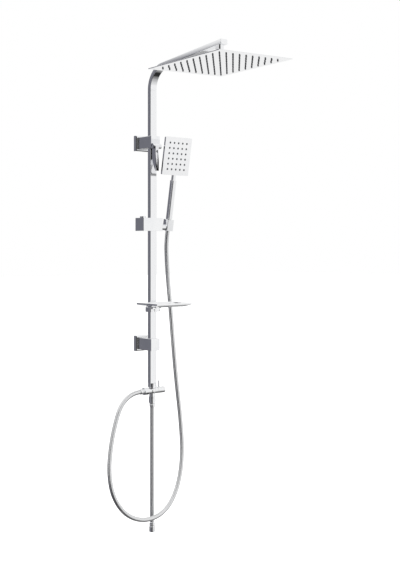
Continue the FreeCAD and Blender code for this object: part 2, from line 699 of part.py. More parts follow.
def make_handset():
    place = handset_place()
    shoulder = HANDLE_FOOT + HANDLE_LENGTH
    head_low = shoulder + NECK_LENGTH
    head_high = head_low + HANDSET_HEIGHT
    half_thick = HANDSET_THICK / 2
    half_width = HANDSET_WIDTH / 2
    face_back = -half_thick + FACE_THICK

    handle = outline(HANDLE_WIDTH, HANDLE_DEPTH, HANDLE_CORNER).extrude(Vector(0, 0, HANDLE_LENGTH))
    handle.translate(Vector(0, 0, HANDLE_FOOT))
    centre = (head_low + head_high) / 2
    face = block((-half_width, half_width), (-half_thick, face_back), (head_low, head_high))
    neck = outline(HANDLE_WIDTH - 3.5, HANDSET_THICK - 2, 3)
    neck = neck.extrude(Vector(0, 0, NECK_LENGTH + 2 + HANDSET_TAPER))
    neck.translate(Vector(0, 0.5, shoulder - 2))
    neck = neck.cut(face)
    rim_depth = HANDSET_THICK - FACE_THICK - HANDSET_TAPER
    rim = outline(HANDSET_WIDTH, HANDSET_HEIGHT, HANDSET_CORNER)
    shoulder_line = outline(HANDSET_WIDTH, HANDSET_HEIGHT, HANDSET_CORNER)
    shoulder_line.translate(Vector(0, 0, rim_depth))
    back_width = HANDSET_WIDTH - 2 * HANDSET_TAPER
    back = outline(back_width, HANDSET_HEIGHT - 2 * HANDSET_TAPER, HANDSET_CORNER)
    back.translate(Vector(0, 0, rim_depth + HANDSET_TAPER))
    sloped = Part.makeLoft([shoulder_line.OuterWire, back.OuterWire], True, True)
    shell = rim.extrude(Vector(0, 0, rim_depth)).fuse(sloped).removeSplitter()
    shell = turned(shell, Placement(Vector(0, face_back, centre), Rotation(X_AXIS, -90)))
    wall = 2.5
    side_wall = wall + 4
    chamber = block(
        (-half_width + side_wall, half_width - side_wall),
        (face_back - 1, half_thick - wall),
        (head_low + side_wall, head_high - side_wall),
    )
    nut_spigot_r = 5.6
    water = rod(Vector(0, 0, HANDLE_FOOT - 20), Z_AXIS, 4, HANDLE_LENGTH + NECK_LENGTH + 30)
    spigot = rod(Vector(0, 0, HANDLE_FOOT - 9), Z_AXIS, nut_spigot_r, 10)
    shell = shell.fuse([handle, neck, spigot]).cut(chamber).cut(water)
    save("handset_shell", turned(shell, place))

    spots = grid(HAND_COLUMNS, HAND_ROWS, HAND_PITCH)
    face = rounded(face, Y_AXIS, HANDSET_CORNER)
    holes = [
        rod(Vector(x, -20, centre + z), Y_AXIS, HAND_NOZZLE_R + 0.1, 40) for x, z in spots
    ]
    save("handset_face", turned(face.cut(many(holes)), place))
    mat_x = HAND_PITCH * HAND_COLUMNS / 2
    mat_z = HAND_PITCH * HAND_ROWS / 2
    mat = block((-mat_x, mat_x), (face_back, face_back + 1.2), (centre - mat_z, centre + mat_z))
    tips = []
    for x, z in spots:
        start = Vector(x, -half_thick - 1.2, centre + z)
        tips.append(
            Part.makeCone(HAND_NOZZLE_R * 0.75, HAND_NOZZLE_R, FACE_THICK + 1.7, start, Y_AXIS)
        )
    save("handset_nozzle_mat", turned(mat.fuse(tips), place))

    cone_gap = LOOSE
    foot = HOLDER_FOOT + 1
    top = HOLDER_HEAD
    slope = (HOLDER_TOP_R - HOLDER_BOTTOM_R) / (HOLDER_HEIGHT + 2)
    low_r = HOLDER_BOTTOM_R + slope * (foot - HOLDER_FOOT + 1) - cone_gap
    high_r = HOLDER_BOTTOM_R + slope * (top - HOLDER_FOOT + 1) - cone_gap
    conical = cone(foot, low_r, high_r, top - foot)
    socket = rod(Vector(0, 0, HANDLE_FOOT - 9.8), Z_AXIS, nut_spigot_r + FIXED, 20)
    flow = rod(Vector(0, 0, foot - 1), Z_AXIS, 4, 60)
    save("handset_hose_nut", turned(conical.cut(socket).cut(flow), place))
    washer = ring(Vector(0, 0, HANDLE_FOOT - 9.7), Z_AXIS, nut_spigot_r, 4, 0.6)
    save("handset_washer", turned(washer, place))
    return place.multVec(Vector(0, 0, foot)), place.Rotation.multVec(Z_AXIS)


# ---- soap dish ----------------------------------------------------------------------------
def make_dish():
    gap = 3.0
    back = TUBE_FRONT - gap
    centre = (0, back - DISH_DEPTH / 2)
    low = DISH_TOP_Z - DISH_HEIGHT
    rim_z = low + 6
    tray = square_loft(
        [(low, DISH_WIDTH - 40, DISH_DEPTH - 24), (rim_z, DISH_WIDTH, DISH_DEPTH)], centre
    )
    front = back - DISH_DEPTH
    half = DISH_WIDTH / 2
    rim = block((-half, half), (front, back), (rim_z, DISH_TOP_Z))
    tray = rounded(tray.fuse(rim).removeSplitter(), Z_AXIS, 2)
    floor = low + 3.2
    hollow = square_loft(
        [
            (floor, DISH_WIDTH - 34, DISH_DEPTH - 24),
            (DISH_TOP_Z + 0.5, DISH_WIDTH - 2 * DISH_WALL, DISH_DEPTH - 2 * DISH_WALL),
        ],
        centre,
    )
    tray = tray.cut(hollow)
    slot_pitch = 9.0
    for number in range(DISH_SLOTS):
        x = (number - (DISH_SLOTS - 1) / 2) * slot_pitch
        mid = centre[1] - 8
        slot = block((x - 2, x + 2), (mid - 20, mid + 20), (low - 1, floor + 1))
        tray = tray.cut(rounded(slot, Z_AXIS, 1.9))
    screw_y = back - 20
    screws = []
    for side in (-1, 1):
        at = Vector(side * 9, screw_y, low)
        tray = tray.cut(rod(at, Z_AXIS, 1.6, 2.6))
    save("soap_dish", tray)

    # the clamp round the riser, with a tongue under the dish
    clamp_low = low - 20
    clamp_high = low - 5
    side = TUBE_SIDE + 6
    rear = TUBE_Y + TUBE_DEPTH / 2 + 6
    clamp_front = TUBE_FRONT - 8
    clamp = block((-side, side), (clamp_front, rear), (clamp_low, clamp_high))
    clamp = rounded(clamp, Z_AXIS, 4)
    step = block((-14, 14), (clamp_front - 6, clamp_front + 4), (clamp_high - 6, low))
    tongue = block((-14, 14), (screw_y - 8, clamp_front), (low - 5, low))
    clamp = clamp.fuse([step, tongue]).removeSplitter()
    hole = outline(TUBE_WIDTH + 2 * SLIDING, TUBE_DEPTH + 2 * SLIDING, TUBE_CORNER)
    hole = hole.extrude(Vector(0, 0, 60))
    clamp = clamp.cut(turned(hole, Placement(Vector(0, TUBE_Y, clamp_low - 5), Rotation())))
    stem_r = 2.5
    stem_at = Vector(side + 9, TUBE_Y, (clamp_low + clamp_high) / 2)
    clamp = clamp.cut(rod(stem_at, -X_AXIS, stem_r + FIXED, 20))
    clamp = clamp.cut(block((-2, -0.5), (clamp_front - 20, TUBE_Y), (clamp_low - 1, clamp_high - 6.2)))
    for way in (-1, 1):
        at = Vector(way * 9, screw_y, low - 5)
        clamp = clamp.cut(rod(at - Z_AXIS, Z_AXIS, 1.6, 10))
        screws.append(screw(at, Z_AXIS, 1.55, 7, 3, 2))
    save("dish_clamp", clamp)
    save("dish_screws", many(screws))
    knob = rod(stem_at - X_AXIS * 8, X_AXIS, 7, 8)
    knob = knob.makeFillet(1, [e for e in knob.Edges if e.CenterOfMass.x > stem_at.x - 0.1])
    stem_end = TUBE_SIDE + SLIDING + 0.1
    stem = rod(Vector(stem_end, stem_at.y, stem_at.z), X_AXIS, stem_r, stem_at.x - stem_end - 1)
    save("dish_clamp_knob", knob.fuse(stem).removeSplitter())


# ---- diverter and hoses -------------------------------------------------------------------
def make_diverter():
    centre = Vector(0, TUBE_Y, DIVERTER_Z)
    top = FOOT_Z - 13
    left = -18.5
    right = 19.0
    foot = -17.5
    bore_r = SPINDLE_R + RUNNING
    upright = rod(Vector(0, TUBE_Y, DIVERTER_Z + foot), Z_AXIS, 9.5, top - DIVERTER_Z - foot)
    across = rod(centre + X_AXIS * left, X_AXIS, BARREL_R, right - left)
    ball = Part.makeSphere(12.2, centre)
    nipple = rod(centre + X_AXIS * (left - 8), X_AXIS, 8.5, 9)
    upper_neck = rod(Vector(0, TUBE_Y, top - 1), Z_AXIS, 9.8, 2)
    lower_nipple = rod(Vector(0, TUBE_Y, DIVERTER_Z + foot), -Z_AXIS, 8.5, 9)
    body = upright.fuse([across, ball, nipple, upper_neck, lower_nipple]).removeSplitter()
    chamber = rod(centre - X_AXIS * 12, X_AXIS, bore_r, right + 12)
    water = rod(Vector(0, TUBE_Y, DIVERTER_Z + foot - 10), Z_AXIS, 4, 60)
    side_water = rod(centre + X_AXIS * (left - 9), X_AXIS, 4, 20)
    body = body.cut(chamber).cut(water).cut(side_water)
    save("diverter_body", body)

    nut_z = DIVERTER_Z + foot - 20.5
    nut_low = top - 1.5
    column_nut = nut(Vector(0, TUBE_Y, nut_low), Z_AXIS, 13.8, FOOT_Z - 1.7 - nut_low, 6.4)
    thread = rod(Vector(0, TUBE_Y, nut_low - 1), Z_AXIS, 10, FOOT_Z - 7 - nut_low + 1)
    save("column_nut", column_nut.cut(thread))
    save("column_washer", ring(Vector(0, TUBE_Y, top + 1), Z_AXIS, 9, 4, 2))

    knob_x = right + 0.4
    knob = rod(centre + X_AXIS * knob_x, X_AXIS, BARREL_R, KNOB_LENGTH)
    knob = knob.makeFillet(1.5, [e for e in knob.Edges if e.CenterOfMass.x > knob_x + 5 and
                                 isinstance(e.Curve, Part.Circle)])
    socket_depth = 12
    knob = knob.cut(rod(centre + X_AXIS * (knob_x - 1), X_AXIS, SPINDLE_R + FIXED, socket_depth + 1))
    lever_x = knob_x + 7.3
    root = centre + X_AXIS * lever_x + Z_AXIS * (BARREL_R - 3)
    knob = knob.cut(rod(root, Z_AXIS, LEVER_R + FIXED, 20))
    save("diverter_knob", knob)
    pin = rod(root, Z_AXIS, LEVER_R, LEVER_LENGTH + 3)
    pin = pin.makeFillet(0.8, [e for e in pin.Edges if e.CenterOfMass.z > root.z + LEVER_LENGTH])
    save("diverter_lever", pin)

    spindle_end = knob_x + socket_depth - 0.5
    spindle = rod(centre - X_AXIS * 11.5, X_AXIS, SPINDLE_R, spindle_end + 11.5)
    port = rod(centre - Z_AXIS * 20, Z_AXIS, 3.5, 40)
    spindle = spindle.cut(port)
    rings = []
    for x in (right - 5, right - 9):
        groove = ring(centre + X_AXIS * x, X_AXIS, SPINDLE_R + 1, SPINDLE_R - 1.4, 1.8)
        spindle = spindle.cut(groove)
        rings.append(
            ring(centre + X_AXIS * (x + 0.1), X_AXIS, SPINDLE_R, SPINDLE_R - 1.35, 1.6)
        )
    save("diverter_spindle", spindle)
    save("diverter_o_rings", many(rings))

    # union nuts on the two outlets, each with its washer
    left_nut_end = left - 16
    outlet_nut = nut(centre + X_AXIS * left_nut_end, X_AXIS, HOSE_NUT_R, 15.7, 8.5 + FIXED)
    floor = rod(centre + X_AXIS * left_nut_end, X_AXIS, HOSE_NUT_R - 1, 6)
    outlet_nut = outlet_nut.fuse(floor).removeSplitter()
    outlet_nut = outlet_nut.cut(rod(centre + X_AXIS * (left_nut_end - 1), X_AXIS, 4, 20))
    save("hose_nut", outlet_nut)
    save("hose_washer", ring(centre + X_AXIS * (left_nut_end + 6), X_AXIS, 8.4, 4, 1.9))

    inlet_nut = nut(Vector(0, TUBE_Y, nut_z), Z_AXIS, 11, 20, 8.5 + FIXED)
    floor = rod(Vector(0, TUBE_Y, nut_z), Z_AXIS, 10, 9)
    inlet_nut = inlet_nut.fuse(floor).removeSplitter()
    inlet_nut = inlet_nut.cut(rod(Vector(0, TUBE_Y, nut_z - 1), Z_AXIS, 4, 30))
    save("inlet_nut", inlet_nut)
    save("inlet_washer", ring(Vector(0, TUBE_Y, nut_z + 9), Z_AXIS, 8.4, 4, 2.4))
    return centre + X_AXIS * left_nut_end, Vector(0, TUBE_Y, nut_z)


def cord_tube(points, radius):
    """A tube of straight runs joined by tangent arcs, each as large as its two runs allow."""
    edges = []
    radii = []
    start = points[0]
    for before, at, after in zip(points, points[1:], points[2:]):
        run_in = at - before
        run_out = after - at
        turn = run_in.getAngle(run_out)
        shorter = min(run_in.Length, run_out.Length)
        tangent = 0.45 * shorter
        radii.append(tangent / math.tan(turn / 2))
        enter = at - Vector(run_in).normalize() * tangent
        leave = at + Vector(run_out).normalize() * tangent
        inward = Vector(run_out).normalize() - Vector(run_in).normalize()
        inward.normalize()
        depth = radii[-1] * (1 / math.cos(turn / 2) - 1)
        edges.append(Part.LineSegment(start, enter).toShape())
        edges.append(Part.Arc(enter, at + inward * depth, leave).toShape())
        start = leave
    edges.append(Part.LineSegment(start, points[-1]).toShape())
    path = Part.Wire(edges)
    direction = points[1] - points[0]
    section = Part.Wire(Part.makeCircle(radius, points[0], direction))
    tube = path.makePipeShell([section], True, True)
    wanted = math.pi * radius**2 * path.Length
    print("  cord", round(path.Length, 1), "mm, volume ratio", round(tube.Volume / wanted, 4))
    if radii:
        print("  radii", [round(r) for r in radii])
    return tube


def make_hoses(outlet, inlet, cone_foot, cone_axis):
    leaving = outlet - X_AXIS * HOSE_STRAIGHT_OUT
    arriving = cone_foot - cone_axis * HOSE_STRAIGHT_IN
    route = [outlet, leaving] + [Vector(*point) for point in HOSE_ROUTE] + [arriving, cone_foot]
    save("handset_hose", cord_tube(route, HOSE_R))
    end = Vector(0, TUBE_Y, INLET_HOSE_END_Z)
    save("inlet_hose", cord_tube([inlet, end], HOSE_R))
    end_nut = nut(end, -Z_AXIS, END_NUT_R, END_NUT_LENGTH, 4)
    mouth = end - Z_AXIS * END_NUT_LENGTH
    thread = rod(mouth, Z_AXIS, THREAD_R, THREAD_LENGTH)
    seat = mouth + Z_AXIS * THREAD_LENGTH
    seat_r = THREAD_R + 0.6
    washer = 1.8
    end_gap = 0.5
    washer_seat = rod(seat, Z_AXIS, seat_r, end_gap + washer + FIXED)
    save("inlet_end_nut", end_nut.cut(thread).cut(washer_seat))
    washer_foot = seat + Z_AXIS * end_gap
    save("inlet_end_washer", ring(washer_foot, Z_AXIS, seat_r - FIXED, 4, washer))


def main():
    os.makedirs("parts", exist_ok=True)
    make_column()
    make_brackets()
    make_cam_lever()
    make_ball_joint()
    make_head()
    boss_end, pin_start = make_slider()
    make_holder(boss_end, pin_start)
    cone_foot, cone_axis = make_handset()
    make_dish()
    outlet, inlet = make_diverter()
    make_hoses(outlet, inlet, cone_foot, cone_axis)


main()
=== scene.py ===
"""A rainfall shower column's looks: hoses, finishes, light and camera round the CAD frame."""

import json
import math

import bpy
import numpy as np
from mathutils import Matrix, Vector

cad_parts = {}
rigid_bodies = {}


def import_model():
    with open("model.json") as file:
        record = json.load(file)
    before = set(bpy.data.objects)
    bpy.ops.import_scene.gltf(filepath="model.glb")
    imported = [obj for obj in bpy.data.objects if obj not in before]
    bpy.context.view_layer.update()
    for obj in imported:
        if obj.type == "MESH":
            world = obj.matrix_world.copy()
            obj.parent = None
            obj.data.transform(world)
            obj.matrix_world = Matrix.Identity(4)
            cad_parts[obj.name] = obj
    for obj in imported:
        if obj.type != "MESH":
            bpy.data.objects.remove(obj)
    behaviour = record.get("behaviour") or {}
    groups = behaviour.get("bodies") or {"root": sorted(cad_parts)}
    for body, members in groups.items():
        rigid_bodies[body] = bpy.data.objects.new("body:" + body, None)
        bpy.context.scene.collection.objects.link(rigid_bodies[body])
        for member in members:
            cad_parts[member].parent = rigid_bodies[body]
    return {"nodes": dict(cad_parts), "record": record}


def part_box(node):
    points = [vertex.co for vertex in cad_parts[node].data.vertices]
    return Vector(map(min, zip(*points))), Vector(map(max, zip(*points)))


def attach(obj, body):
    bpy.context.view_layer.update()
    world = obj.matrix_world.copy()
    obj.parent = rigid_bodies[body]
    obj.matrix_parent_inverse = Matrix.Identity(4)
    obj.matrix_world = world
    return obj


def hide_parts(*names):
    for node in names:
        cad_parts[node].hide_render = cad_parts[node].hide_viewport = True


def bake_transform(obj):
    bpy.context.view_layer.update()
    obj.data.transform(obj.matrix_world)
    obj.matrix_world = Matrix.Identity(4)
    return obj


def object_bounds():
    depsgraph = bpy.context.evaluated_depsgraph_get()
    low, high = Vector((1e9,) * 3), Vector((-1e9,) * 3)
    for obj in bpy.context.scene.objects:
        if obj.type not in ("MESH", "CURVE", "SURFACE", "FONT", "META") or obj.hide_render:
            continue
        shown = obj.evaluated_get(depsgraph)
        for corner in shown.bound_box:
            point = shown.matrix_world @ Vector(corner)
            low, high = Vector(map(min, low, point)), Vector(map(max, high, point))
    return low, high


for left_over in list(bpy.data.objects):
    bpy.data.objects.remove(left_over)
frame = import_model()
cad_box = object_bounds()

# ---- sizes in metres ------------------------------------------------------------------------
TUBE_Y = -0.0655                # the riser's centre plane, in front of the wall
TUBE_SIZE = (0.025, 0.015)      # across, and front to back
TUBE_CORNER = 0.0016
TUBE_WALL = 0.0012
TUBE_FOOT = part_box("column_tube")[0].z
BEND_START = 0.812
BEND_RADIUS = 0.070
BEND_ANGLE = math.radians(84.5)
ARM_LENGTH = 0.2835

HOSE_RADIUS = 0.007
HOSE_PITCH = 0.0027             # from one turn of the steel strip to the next
HOSE_GROOVE = 0.0007
DIVERTER_OUTLET = (-0.0345, -0.0655, -0.148)
HOSE_ROUTE = [
    DIVERTER_OUTLET,
    (-0.0625, -0.0655, -0.148),
    (-0.093, -0.066, -0.158),
    (-0.125, -0.068, -0.184),
    (-0.147, -0.072, -0.233),
    (-0.170, -0.080, -0.300),
    (-0.184, -0.089, -0.382),
    (-0.172, -0.097, -0.460),
    (-0.122, -0.103, -0.524),
    (-0.044, -0.104, -0.549),
    (0.034, -0.098, -0.530),
    (0.090, -0.087, -0.464),
    (0.118, -0.075, -0.366),
    (0.117, -0.065, -0.252),
    (0.106, -0.056, -0.125),
    (0.096, -0.051, 0.005),
    (0.087, -0.048, 0.125),
    (0.078, -0.047, 0.210),
    (0.066, -0.056, 0.280),
    (0.059, -0.0631, 0.3258),
    (0.059, -0.0704, 0.3652),
]
STRAIGHT_SHARES = (0, 1 / 3, 2 / 3, 1)      # the points of a straight hose, along its length
INLET_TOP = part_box("inlet_nut")[0].z
INLET_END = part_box("inlet_end_nut")[1].z
HOLDER_PIVOT = Vector((0.059, -0.072, 0.374))
HANDSET_LEAN = math.radians(10.5)
HANDSET_AXIS = Vector((0, -math.sin(HANDSET_LEAN), math.cos(HANDSET_LEAN)))
NUT_FOOT = -0.009               # along the handset's axis, from the holder's pivot
DRAWN_HOSE_END = 0.043          # how far up inside the handset the hose goes
DRAWN_HOSE_RADIUS = 0.0063

CAMERA_PLACE = Vector((-1.834, -2.489, 0.301))
CAMERA_TURN = math.radians(-40)
LENS_MM = 60
SENSOR_MM = 36
CAMERA_SHIFT = -0.0614
FLOOR_DROP = 0.16               # from the part's lowest point down to the floor
FLOOR_SIDE = 60


# ---- node helpers ---------------------------------------------------------------------------
class Finish:
    """A material made round one Principled shader, with detail in the object's own metres."""

    def __init__(self, name, colour, roughness, metallic=0.0):
        self.material = bpy.data.materials.new(name)
        self.material.use_nodes = True
        self.tree = self.material.node_tree
        self.shader = self.tree.nodes["Principled BSDF"]
        self.set("Base Color", (*colour, 1))
        self.set("Roughness", roughness)
        self.set("Metallic", metallic)
        self.place = self.tree.nodes.new("ShaderNodeTexCoord").outputs["Object"]

    def set(self, socket, value):
        self.shader.inputs[socket].default_value = value

    def link(self, source, target):
        self.tree.links.new(source, target)

    def stretched(self, stretch):
        mapping = self.tree.nodes.new("ShaderNodeMapping")
        mapping.inputs["Scale"].default_value = stretch
        self.link(self.place, mapping.inputs["Vector"])
        return mapping.outputs["Vector"]

    def noise(self, per_metre, detail=3.0, stretch=(1, 1, 1), roughness=0.5):
        node = self.tree.nodes.new("ShaderNodeTexNoise")
        node.inputs["Scale"].default_value = per_metre
        node.inputs["Detail"].default_value = detail
        node.inputs["Roughness"].default_value = roughness
        self.link(self.stretched(stretch), node.inputs["Vector"])
        return node.outputs["Fac"]

    def cells(self, per_metre):
        node = self.tree.nodes.new("ShaderNodeTexVoronoi")
        node.inputs["Scale"].default_value = per_metre
        self.link(self.stretched((1, 1, 1)), node.inputs["Vector"])
        return node.outputs["Distance"]

    def spread(self, value, low, high, start=0.3, end=0.7):
        """value, from start to end, as a number from low to high."""
        node = self.tree.nodes.new("ShaderNodeMapRange")
        node.inputs["From Min"].default_value = start
        node.inputs["From Max"].default_value = end
        node.inputs["To Min"].default_value = low
        node.inputs["To Max"].default_value = high
        self.link(value, node.inputs["Value"])
        return node.outputs["Result"]

    def rough(self, value, low, high, start=0.3, end=0.7):
        self.link(self.spread(value, low, high, start, end), self.shader.inputs["Roughness"])

    def tint(self, value, first, second, start=0.3, end=0.7):
        ramp = self.tree.nodes.new("ShaderNodeValToRGB")
        ramp.color_ramp.elements[0].position = start
        ramp.color_ramp.elements[0].color = (*first, 1)
        ramp.color_ramp.elements[1].position = end
        ramp.color_ramp.elements[1].color = (*second, 1)
        self.link(value, ramp.inputs["Fac"])
        self.link(ramp.outputs["Color"], self.shader.inputs["Base Color"])

    def bump(self, value, height_m, strength=1.0):
        """A relief of that height. A later one lies over an earlier one."""
        node = self.tree.nodes.new("ShaderNodeBump")
        node.inputs["Distance"].default_value = height_m
        node.inputs["Strength"].default_value = strength
        self.link(value, node.inputs["Height"])
        before = self.shader.inputs["Normal"]
        if before.is_linked:
            self.link(before.links[0].from_socket, node.inputs["Normal"])
        self.link(node.outputs["Normal"], before)


# ---- finishes -------------------------------------------------------------------------------
def plated_chrome():
    """Bright chrome on brass: faint wipe marks, and the slow ripple that polishing leaves."""
    f = Finish("plated_chrome", (0.90, 0.905, 0.915), 0.05, 1.0)
    smudge = f.noise(38, 5, (1, 1, 0.6), 0.62)
    f.tint(smudge, (0.86, 0.868, 0.882), (0.925, 0.928, 0.935))
    f.rough(smudge, 0.035, 0.085)
    f.bump(f.noise(55, 2), 0.00012, 0.25)
    f.bump(f.noise(2600, 2), 0.000002, 0.3)
    return f.material


def plated_plastic():
    """Chrome on moulded plastic: a little softer, with the moulding's fine orange peel."""
    f = Finish("plated_plastic", (0.90, 0.905, 0.915), 0.07, 1.0)
    smudge = f.noise(45, 4, (1, 1, 1), 0.6)
    f.tint(smudge, (0.875, 0.88, 0.892), (0.93, 0.932, 0.938))
    f.rough(smudge, 0.05, 0.11)
    f.bump(f.noise(320, 2), 0.000012, 0.35)
    f.bump(f.noise(60, 1), 0.0001, 0.2)
    return f.material


def polished_tube():
    """Polished stainless tube, with hair lines along it."""
    f = Finish("polished_stainless_tube", (0.88, 0.885, 0.895), 0.07, 1.0)
    hair = f.noise(900, 3, (1, 1, 0.02), 0.6)
    f.tint(hair, (0.86, 0.866, 0.88), (0.915, 0.918, 0.926), 0.25, 0.75)
    f.rough(hair, 0.05, 0.10)
    f.bump(hair, 0.0000012, 0.4)
    f.bump(f.noise(20, 2), 0.0001, 0.2)
    return f.material


def polished_sheet():
    """Mirror-polished stainless sheet, with buffing lines both ways and a faint bow."""
    f = Finish("polished_stainless_sheet", (0.89, 0.895, 0.90), 0.08, 1.0)
    lines = f.noise(700, 3, (0.03, 1, 1), 0.6)
    f.tint(lines, (0.865, 0.87, 0.88), (0.925, 0.927, 0.932), 0.25, 0.75)
    f.rough(f.noise(60, 4), 0.05, 0.12)
    f.bump(lines, 0.000001, 0.35)
    f.bump(f.noise(9, 1), 0.0003, 0.12)
    return f.material


def hose_steel():
    """The wound stainless strip: bright on the crowns, rubbed along its length."""
    f = Finish("wound_hose_steel", (0.78, 0.785, 0.79), 0.16, 1.0)
    rub = f.noise(420, 4, (1, 1, 1), 0.6)
    f.tint(rub, (0.66, 0.665, 0.675), (0.86, 0.862, 0.868), 0.25, 0.75)
    f.rough(rub, 0.12, 0.24)
    f.bump(f.noise(2400, 2), 0.000006, 0.4)
    return f.material


def silicone():
    """Soft grey nozzles: matt, a little bloomed with lime."""
    f = Finish("nozzle_silicone", (0.06, 0.063, 0.068), 0.55)
    bloom = f.noise(260, 5, (1, 1, 1), 0.65)
    f.tint(bloom, (0.042, 0.045, 0.05), (0.09, 0.094, 0.1))
    f.rough(bloom, 0.45, 0.68)
    f.bump(f.noise(3200, 2), 0.00001, 0.5)
    f.set("Specular IOR Level", 0.4)
    return f.material


def rubber():
    """Black seals with a bloom of dust."""
    f = Finish("seal_rubber", (0.03, 0.03, 0.032), 0.6)
    dust = f.noise(500, 5)
    f.tint(dust, (0.022, 0.022, 0.024), (0.05, 0.05, 0.052))
    f.rough(dust, 0.5, 0.75)
    f.bump(f.noise(5200, 2), 0.00001, 0.6)
    return f.material


def nylon():
    """Natural white nylon that lets a little light in."""
    f = Finish("white_nylon", (0.74, 0.74, 0.72), 0.42)
    cloud = f.noise(140, 3)
    f.tint(cloud, (0.68, 0.68, 0.655), (0.79, 0.79, 0.775))
    f.rough(cloud, 0.36, 0.52)
    f.bump(f.noise(2100, 3), 0.000015, 0.5)
    f.set("Subsurface Weight", 0.15)
    f.set("Subsurface Radius", (0.002, 0.002, 0.0018))
    return f.material


def zinc():
    """Zinc on steel: small cool crystals, duller where they meet."""
    f = Finish("zinc_plate", (0.58, 0.585, 0.60), 0.35, 1.0)
    crystal = f.cells(900)
    f.tint(crystal, (0.62, 0.63, 0.65), (0.48, 0.485, 0.5), 0.1, 0.8)
    f.rough(f.noise(300, 4), 0.26, 0.45)
    f.bump(crystal, 0.00001, 0.3)
    return f.material


def brass():
    """Turned brass, with the lathe's rings round the riser's line."""
    f = Finish("turned_brass", (0.76, 0.60, 0.33), 0.28, 1.0)
    ring = f.noise(1500, 2, (0.05, 0.05, 1))
    f.tint(ring, (0.70, 0.53, 0.28), (0.80, 0.65, 0.38))
    f.rough(f.noise(180, 4), 0.2, 0.38)
    f.bump(ring, 0.000008, 0.4)
    return f.material


FINISHES = {
    "chrome_brass": plated_chrome(),
    "chrome_plastic": plated_plastic(),
    "stainless": polished_sheet(),
    "hose_metal": hose_steel(),
    "silicone": silicone(),
    "rubber": rubber(),
    "nylon": nylon(),
    "zinc_steel": zinc(),
    "brass": brass(),
}
TUBE_FINISH = polished_tube()


# ---- CAD nodes: finish, and edges that catch the light --------------------------------------
JOIN_WITHIN = 0.000002
FLAT_WITHIN = math.radians(0.6)
SHARP_FROM = math.radians(28)
EDGE_RADII = {
    "lower_wall_cover": 0.0008,
    "upper_wall_cover": 0.0008,
    "lower_bracket": 0.0005,
    "upper_bracket": 0.0005,
    "slider_body": 0.0005,
    "handset_holder": 0.0005,
    "handset_shell": 0.0006,
    "handset_face": 0.0005,
    "handset_hose_nut": 0.0003,
    "soap_dish": 0.0005,
    "dish_clamp": 0.0004,
    "dish_clamp_knob": 0.0004,
    "arm_end_cap": 0.0005,
    "arm_outlet_collar": 0.0004,
    "column_nut": 0.0004,
    "hose_nut": 0.0004,
    "inlet_nut": 0.0004,
    "inlet_end_nut": 0.0004,
    "diverter_body": 0.0004,
    "diverter_knob": 0.0005,
    "diverter_lever": 0.0003,
    "head_ball_nut": 0.0004,
    "head_inlet_boss": 0.0004,
    "head_top_shell": 0.0006,
    "release_button": 0.0003,
}


def soften_edges(node, radius):
    """Joins the CAD faces, merges the flat ones, and rounds each sharp edge a little."""
    mesh = node.data
    if "custom_normal" in mesh.attributes:
        mesh.attributes.remove(mesh.attributes["custom_normal"])
    mesh.polygons.foreach_set("use_smooth", [True] * len(mesh.polygons))
    mesh.edges.foreach_set("use_edge_sharp", [False] * len(mesh.edges))
    weld = node.modifiers.new("join_faces", "WELD")
    weld.merge_threshold = JOIN_WITHIN
    flat = node.modifiers.new("merge_flat", "DECIMATE")
    flat.decimate_type = "DISSOLVE"
    flat.angle_limit = FLAT_WITHIN
    edge = node.modifiers.new("round_edges", "BEVEL")
    edge.width = radius
    edge.segments = 2
    edge.limit_method = "ANGLE"
    edge.angle_limit = SHARP_FROM
    edge.harden_normals = True
    edge.use_clamp_overlap = True


for entry in frame["record"]["subparts"]:
    cad_node = frame["nodes"][entry["node"]]
    cad_node.data.materials.clear()
    cad_node.data.materials.append(FINISHES[entry["material_slot"]])
    if entry["node"] in EDGE_RADII:
        soften_edges(cad_node, EDGE_RADII[entry["node"]])


# ---- mesh helpers ---------------------------------------------------------------------------
def piece(name, points, faces, finish, crease=180):
    """An object from points and faces, smooth but at edges that turn more than crease degrees."""
    mesh = bpy.data.meshes.new(name)
    mesh.from_pydata([tuple(p) for p in points], [], faces)
    mesh.polygons.foreach_set("use_smooth", [True] * len(mesh.polygons))
    mesh.set_sharp_from_angle(angle=math.radians(crease))
    mesh.materials.append(finish)
    mesh.update()
    made = bpy.data.objects.new(name, mesh)
    bpy.context.scene.collection.objects.link(made)
    return made


def skin(rings, closed_path=False):
    """Quads between rings of equally many points, and a face over each end of an open path."""
    count = len(rings[0])
    points = [p for ring in rings for p in ring]
    faces = []
    pairs = len(rings) if closed_path else len(rings) - 1
    for i in range(pairs):
        here = i * count
        there = ((i + 1) % len(rings)) * count
        for j in range(count):
            k = (j + 1) % count
            faces.append((here + j, here + k, there + k, there + j))
    if not closed_path:
        faces.append(tuple(reversed(range(count))))
        last = (len(rings) - 1) * count
        faces.append(tuple(range(last, last + count)))
    return points, faces


def across(direction):
    """Two directions square to one another and to direction."""
    direction = direction.normalized()
    guide = Vector((0, 0, 1)) if abs(direction.z) < 0.9 else Vector((1, 0, 0))
    side = direction.cross(guide).normalized()
    return side, direction.cross(side)


def lathe(name, foot, direction, profile, finish, sides=40):
    """A turned piece: profile gives (distance along direction, radius) from its foot."""
    direction = direction.normalized()
    u, v = across(direction)
    rings = []
    for along, radius in profile:
        ring = []
        for i in range(sides):
            a = 2 * math.pi * i / sides
            ring.append(foot + direction * along + (u * math.cos(a) + v * math.sin(a)) * radius)
        rings.append(ring)
    points, faces = skin(rings)
    return piece(name, points, faces, finish, crease=50)


